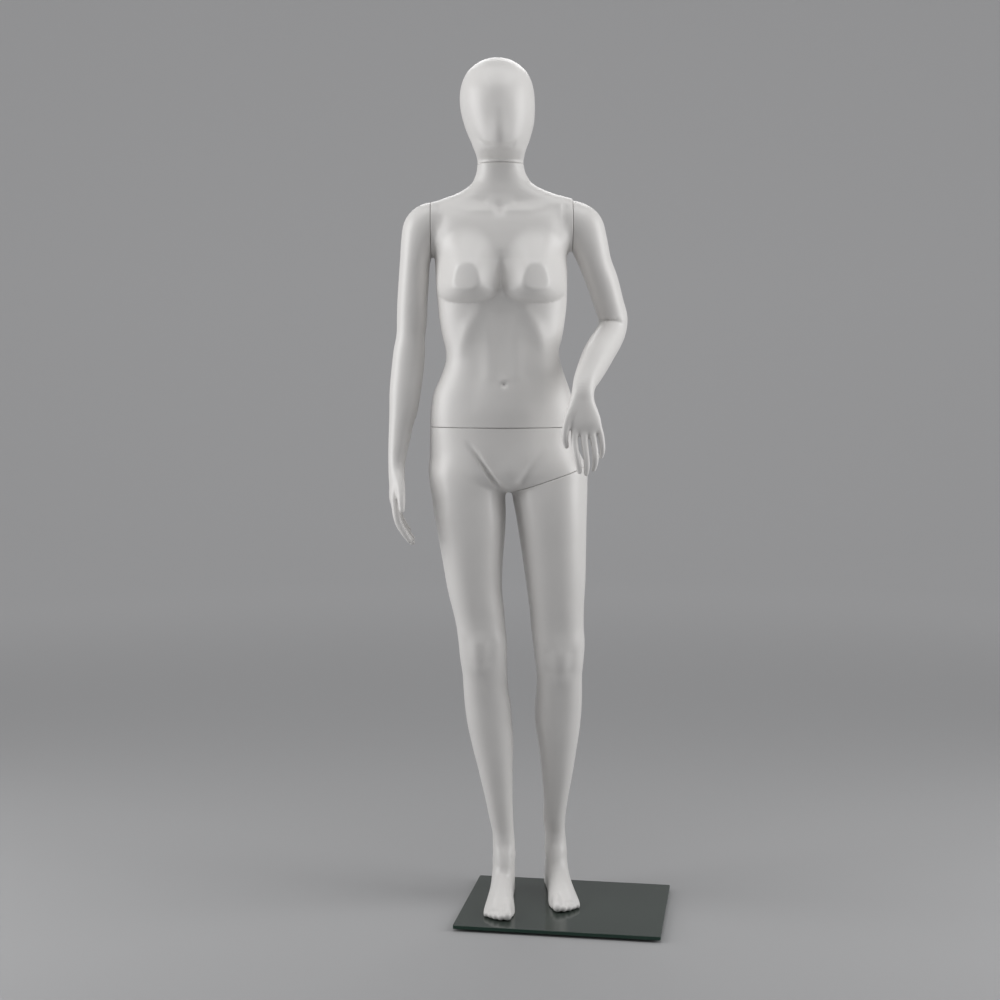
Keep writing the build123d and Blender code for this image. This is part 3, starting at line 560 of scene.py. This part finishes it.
def foot(clay, which):
    """A foot and its toes, set at its heel and turned out."""
    x0, y0, turn, side = HEELS[which]
    angle = math.radians(turn)
    cosine, sine = math.cos(angle), math.sin(angle)

    def set_down(across, reach, height):
        return (x0 + across * cosine + reach * sine, y0 + across * sine - reach * cosine, height)

    reach, half, top = np.array(FOOT, float).T

    def shape(x, y, z):
        across = (x - x0) * cosine + (y - y0) * sine
        forward = (x - x0) * sine - (y - y0) * cosine
        half_u = curve(reach, half, forward)
        half_v = curve(reach, top, forward)
        sides = oval_distance(across, z, half_u, half_v, 2.4)
        beyond = np.maximum(reach[0] - forward, forward - reach[-1])
        return np.where(beyond > 0, np.hypot(np.maximum(sides, 0), beyond), sides)

    low = (x0 - 60, y0 - 235, -12)
    high = (x0 + 60, y0 + 16, 110)
    clay.add(shape, low, high, 10)
    for tip, across, radius in TOES:
        across *= -side
        root = set_down(across * 0.86, tip - 52, radius + 7)
        bend = set_down(across * 0.96, tip - 26, radius + 3.5)
        end = set_down(across, tip - radius, radius * 0.95)
        middle = set_down(across * 0.99, tip - radius - 9, radius * 1.05)
        toe = [
            (*root, radius * 0.9), (*bend, radius * 0.92), (*middle, radius), (*end, radius * 0.9)
        ]
        clay.digit(toe, 2.5)
    clay.press([set_down(-side * 14, 120, 50), set_down(-side * 18, 180, 20)], 9, 1.5)
    clay.press([set_down(side * 8, 150, 34), set_down(side * 12, 190, 20)], 6, 0.8)


def hand(clay, fingers):
    """Four fingers and a thumb."""
    for digit in fingers[:4]:
        clay.digit(digit, 2.6)
    clay.digit(fingers[4], 7)


def at_shoulder(centre):
    """Whether a place is high enough for the shoulder seams to cut."""
    return centre.z > place(0, 0, SHOULDER_SEAM_FOOT).z


def build_head():
    """The egg head with its ridge, jaw line and forehead."""
    clay = Clay((-95, -125, 1520), (85, 105, 1760), HEAD_VOXEL)
    clay.column(HEAD, 8, 2.1)
    clay.press([(-2, -110, 1632), (-2, -106, 1592), (-1, -98, 1566)], 15, [2, 5, 4.5], 0.6)
    jaw = [(-46, -58, 1586), (-28, -80, 1565), (-2, -90, 1557), (24, -80, 1565), (42, -58, 1586)]
    clay.press(jaw, 5, [-1, -2.5, -3, -2.5, -1], 0.6)
    clay.press([(-3, -104, 1672)], 26, 1.5, 0.6)
    piece = clay.mesh("head_skin")
    trim(piece, seam(*NECK_FITTING, (0, 0, 1)), SMALL_RECESS)
    return piece


def build_torso():
    """The torso between the waist, neck and shoulder seams."""
    clay = Clay((-160, -150, 985), (172, 115, 1550), BODY_VOXEL)
    clay.column(TORSO, 10, push=chest_push)
    shoulders(clay)
    chest_details(clay)
    back_details(clay)
    piece = clay.mesh("torso_skin")
    trim(piece, seam(6, 0, WAIST_SEAM, (0, 0, 1)), WAIST_RECESS)
    trim(piece, seam(*NECK_FITTING, (0, 0, -1)), SMALL_RECESS)
    for x, side in ((RIGHT_SHOULDER_SEAM, 1), (LEFT_SHOULDER_SEAM, -1)):
        trim(piece, seam(x, *SHOULDER_FITTING, (side, 0, 0)), SMALL_RECESS, keep=at_shoulder)
    return piece


def groin_plane(direction):
    """The groin seam through its fitting; direction 1 points up into the hips."""
    x = GROIN_SEAM_START[0] + GROIN_FITTING_ALONG * math.cos(GROIN_SEAM_SLOPE)
    height = GROIN_SEAM_START[1] + GROIN_FITTING_ALONG * math.sin(GROIN_SEAM_SLOPE)
    normal = (-math.sin(GROIN_SEAM_SLOPE) * direction, 0, math.cos(GROIN_SEAM_SLOPE) * direction)
    return seam(x, 4, height, normal)


def build_lower_body():
    """The hips with the right leg, and the left leg, from one block of clay."""
    clay = Clay((-165, -160, -8), (195, 165, 1012), BODY_VOXEL)
    clay.column(PELVIS, 14)
    clay.column(RIGHT_LEG, 12)
    clay.column(LEFT_LEG, 12)
    foot(clay, "right")
    foot(clay, "left")
    hip_details(clay)
    leg_details(clay, (-44, -70, 548), -1, (8, 38))
    leg_details(clay, (124, -58, 522), 1, (120, 88))
    clay.cut_below(0.0)
    hips = clay.mesh("hips_right_leg_skin")
    leg = hips.copy()
    leg.data = hips.data.copy()
    leg.name = "left_leg_skin"
    bpy.context.scene.collection.objects.link(leg)
    crotch, top = place(CROTCH_X, 0, GROIN_SEAM_START[1]).xz

    def is_left(centre):
        return centre.x > crotch + (top - centre.z) * LEG_GAP_LEAN

    trim(hips, seam(6, 0, WAIST_SEAM, (0, 0, -1)), WAIST_RECESS)
    trim(hips, groin_plane(1), SMALL_RECESS, keep=is_left)
    trim(leg, seam(CROTCH_X, 0, GROIN_SEAM_START[1], (1, 0, LEG_GAP_LEAN)))
    trim(leg, groin_plane(-1), SMALL_RECESS)
    return hips, leg


def build_arm(name, stations, fingers, seam_x, side, low, high, fold=None):
    """An arm with its hand. fold is the line of a bend's crease, which is filled a little."""
    clay = Clay(low, high, ARM_VOXEL)
    clay.limb(stations, 10)
    hand(clay, fingers)
    if fold:
        clay.press(fold, *CREASE_FILL, 0.5)
    piece = clay.mesh(name)
    trim(piece, seam(seam_x, *SHOULDER_FITTING, (side, 0, 0)), SMALL_RECESS, keep=at_shoulder)
    return piece


def shade(piece):
    """Shades a skin smooth but for its sharp edges."""
    for polygon in piece.data.polygons:
        polygon.use_smooth = True
    piece.data.set_sharp_from_angle(angle=SHARP_ANGLE)


# ---------------------------------------------------------------- finishes
def finish(name, colours, roughness, patch, grain, bump, **constants):
    """A procedural finish: two colours in soft patches, roughness that drifts between two
    values, and a fine bump. patch and grain are sizes in millimetres."""
    made = bpy.data.materials.new(name)
    made.use_nodes = True
    nodes, links = made.node_tree.nodes, made.node_tree.links
    shader = nodes["Principled BSDF"]
    for socket, value in constants.items():
        shader.inputs[socket.replace("_", " ")].default_value = value
    where = nodes.new("ShaderNodeTexCoord").outputs["Object"]

    def noise(size, detail):
        texture = nodes.new("ShaderNodeTexNoise")
        texture.inputs["Scale"].default_value = 1000 / size
        texture.inputs["Detail"].default_value = detail
        links.new(where, texture.inputs["Vector"])
        return texture.outputs["Fac"]

    def spread(source, low, high):
        scale = nodes.new("ShaderNodeMapRange")
        scale.inputs["From Min"].default_value = 0.3
        scale.inputs["From Max"].default_value = 0.7
        scale.inputs["To Min"].default_value = low
        scale.inputs["To Max"].default_value = high
        links.new(source, scale.inputs["Value"])
        return scale.outputs["Result"]

    patches = noise(patch, 3.0)
    mix = nodes.new("ShaderNodeMix")
    mix.data_type = "RGBA"
    mix.inputs["A"].default_value = (*colours[0], 1)
    mix.inputs["B"].default_value = (*colours[1], 1)
    links.new(spread(patches, 0, 1), mix.inputs["Factor"])
    links.new(mix.outputs["Result"], shader.inputs["Base Color"])
    links.new(spread(noise(patch * 0.6, 4.0), *roughness), shader.inputs["Roughness"])
    relief = nodes.new("ShaderNodeBump")
    relief.inputs["Strength"].default_value = bump
    relief.inputs["Distance"].default_value = grain * MM * 0.2
    links.new(noise(grain, 2.0), relief.inputs["Height"])
    links.new(relief.outputs["Normal"], shader.inputs["Normal"])
    return made


def edge_tint(made, colour):
    """Colours the upright sides of a flat sheet with the given colour, blending to the face colour as the
    faces turn level.
    """
    nodes, links = made.node_tree.nodes, made.node_tree.links
    shader = nodes["Principled BSDF"]
    face = shader.inputs["Base Color"].links[0].from_socket
    normal = nodes.new("ShaderNodeTexCoord").outputs["Normal"]
    split = nodes.new("ShaderNodeSeparateXYZ")
    level = nodes.new("ShaderNodeMath")
    level.operation = "ABSOLUTE"
    mix = nodes.new("ShaderNodeMix")
    mix.data_type = "RGBA"
    links.new(normal, split.inputs["Vector"])
    links.new(split.outputs["Z"], level.inputs[0])
    links.new(level.outputs["Value"], mix.inputs["Factor"])
    mix.inputs["A"].default_value = (*colour, 1)
    links.new(face, mix.inputs["B"])
    links.new(mix.outputs["Result"], shader.inputs["Base Color"])


def build_finishes():
    """One finish for each material slot of the record."""
    made = {
        "white_plastic": finish(
            "satin white plastic", [(0.745, 0.73, 0.712), (0.775, 0.76, 0.742)], (0.33, 0.39),
            patch=140, grain=0.9, bump=0.10,
        ),
        "tinted_glass": finish(
            "tinted glass", [(0.045, 0.058, 0.05), (0.05, 0.064, 0.055)], (0.10, 0.15),
            patch=90, grain=4, bump=0.01, Transmission_Weight=0.2, IOR=1.5,
        ),
        "clear_rubber": finish(
            "clear rubber", [(0.62, 0.63, 0.62), (0.7, 0.7, 0.69)], (0.3, 0.42),
            patch=6, grain=1, bump=0.15, Transmission_Weight=0.5, IOR=1.42,
        ),
        "nylon": finish(
            "white nylon", [(0.66, 0.65, 0.61), (0.72, 0.71, 0.67)], (0.42, 0.55),
            patch=8, grain=0.8, bump=0.1,
        ),
        "rubber": finish(
            "black rubber", [(0.018, 0.018, 0.019), (0.03, 0.03, 0.031)], (0.6, 0.8),
            patch=7, grain=0.6, bump=0.3,
        ),
        "steel": finish(
            "plated steel", [(0.5, 0.5, 0.5), (0.6, 0.6, 0.595)], (0.25, 0.4),
            patch=9, grain=0.5, bump=0.12, Metallic=1.0,
        ),
        "zinc_screws": finish(
            "zinc screws", [(0.55, 0.55, 0.52), (0.66, 0.65, 0.61)], (0.3, 0.48),
            patch=3, grain=0.4, bump=0.15, Metallic=1.0,
        ),
    }
    edge_tint(made["tinted_glass"], (0.004, 0.04, 0.024))
    return made


# ---------------------------------------------------------------- stage
def build_stage():
    """A round pale floor that sweeps up into a wall. The far part glows a little, so that
    the floor and the wall keep one tone."""
    sweep = [(STAGE_FLAT, 0)]
    for step in range(1, STAGE_STEPS + 1):
        angle = math.radians(90 * step / STAGE_STEPS)
        sweep.append((STAGE_FLAT + STAGE_CURVE * math.sin(angle), STAGE_CURVE * (1 - math.cos(angle))))
    sweep.append((STAGE_FLAT + STAGE_CURVE, STAGE_HEIGHT))
    data = bpy.data.meshes.new("stage")
    points = []
    for radius, height in sweep:
        for i in range(STAGE_SIDES):
            turn = 2 * math.pi * i / STAGE_SIDES
            points.append((radius * math.cos(turn), radius * math.sin(turn), height))
    faces = [list(range(STAGE_SIDES))]
    for ring in range(len(sweep) - 1):
        for i in range(STAGE_SIDES):
            a = ring * STAGE_SIDES + i
            b = ring * STAGE_SIDES + (i + 1) % STAGE_SIDES
            faces.append([b, a, a + STAGE_SIDES, b + STAGE_SIDES])
    data.from_pydata(points, [], faces)
    for polygon in data.polygons:
        polygon.use_smooth = True
    stage = bpy.data.objects.new("stage", data)
    bpy.context.scene.collection.objects.link(stage)
    paper = bpy.data.materials.new("pale paper")
    paper.use_nodes = True
    nodes, links = paper.node_tree.nodes, paper.node_tree.links
    shader = nodes["Principled BSDF"]
    shader.inputs["Base Color"].default_value = STAGE_COLOUR
    shader.inputs["Roughness"].default_value = 0.9
    shader.inputs["Specular IOR Level"].default_value = 0.1
    shader.inputs["Emission Color"].default_value = STAGE_COLOUR
    distance = nodes.new("ShaderNodeVectorMath")
    distance.operation = "LENGTH"
    links.new(nodes.new("ShaderNodeTexCoord").outputs["Object"], distance.inputs[0])
    rise = nodes.new("ShaderNodeMapRange")
    rise.interpolation_type = "SMOOTHSTEP"
    rise.inputs["From Min"].default_value, rise.inputs["From Max"].default_value = GLOW_REACH
    rise.inputs["To Max"].default_value = WALL_GLOW
    links.new(distance.outputs["Value"], rise.inputs["Value"])
    links.new(rise.outputs["Result"], shader.inputs["Emission Strength"])
    data.materials.append(paper)


def add_light(name, where, target, size, power):
    """A soft box that faces a target."""
    lamp = bpy.data.lights.new(name, "AREA")
    lamp.shape = "RECTANGLE"
    lamp.size, lamp.size_y = size
    lamp.energy = power
    holder = bpy.data.objects.new(name, lamp)
    holder.location = where
    holder.rotation_euler = (Vector(target) - Vector(where)).to_track_quat("-Z", "Y").to_euler()
    bpy.context.scene.collection.objects.link(holder)


def build_lights():
    """Soft boxes at both sides and overhead, and a weak even fill. Nothing bright stands in
    front, so that what faces the camera is darker than the flanks."""
    (across, back, height), target, size = SIDE_BOX
    for name, side in (("left box", -1), ("right box", 1)):
        add_light(name, (side * across, back, height), target, size, SIDE_POWER)
    add_light("overhead box", *OVERHEAD_BOX, TOP_POWER)
    add_light("back box", *BACK_BOX, BACK_POWER)
    world = bpy.data.worlds.new("studio")
    world.use_nodes = True
    sky = world.node_tree.nodes["Background"]
    sky.inputs["Color"].default_value = FILL_COLOUR
    sky.inputs["Strength"].default_value = FILL_STRENGTH
    bpy.context.scene.world = world


def build_camera():
    """The camera of the front view."""
    lens = bpy.data.cameras.new("front view")
    lens.lens = CAMERA_LENS
    lens.sensor_width = SENSOR_WIDTH
    lens.clip_start = 0.05
    camera = bpy.data.objects.new("front view", lens)
    camera.location = place(*CAMERA_PLACE)
    camera.rotation_euler = (math.radians(90 - CAMERA_PITCH), 0, 0)
    bpy.context.scene.collection.objects.link(camera)
    bpy.context.scene.camera = camera
    bpy.context.scene.view_settings.view_transform = "Standard"


# ---------------------------------------------------------------- building
head = build_head()
torso = build_torso()
hips, left_leg = build_lower_body()
right_arm = build_arm(
    "right_arm_skin", RIGHT_ARM, RIGHT_FINGERS, RIGHT_SHOULDER_SEAM, -1,
    (-240, -115, 755), (-90, 60, 1475),
)
left_arm = build_arm(
    "left_arm_skin", LEFT_ARM, LEFT_FINGERS, LEFT_SHOULDER_SEAM, 1,
    (105, -190, 895), (275, 95, 1475), fold=LEFT_ELBOW_CREASE,
)
finishes = build_finishes()
skins = {
    head: ("head", "head_shell"),
    torso: ("torso", "torso_shell"),
    right_arm: ("right_arm", "right_arm_shell"),
    left_arm: ("left_arm", "left_arm_shell"),
    hips: ("lower_body", "hips_right_leg_shell"),
    left_leg: ("lower_body", "left_leg_shell"),
}
for skin, (body, node) in skins.items():
    shade(skin)
    skin.data.materials.append(finishes["white_plastic"])
    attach(skin, body)
    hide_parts(node)
for node in frame["nodes"].values():
    for holder in node.material_slots:
        holder.material = finishes[holder.material.name]

build_stage()
build_lights()
build_camera()
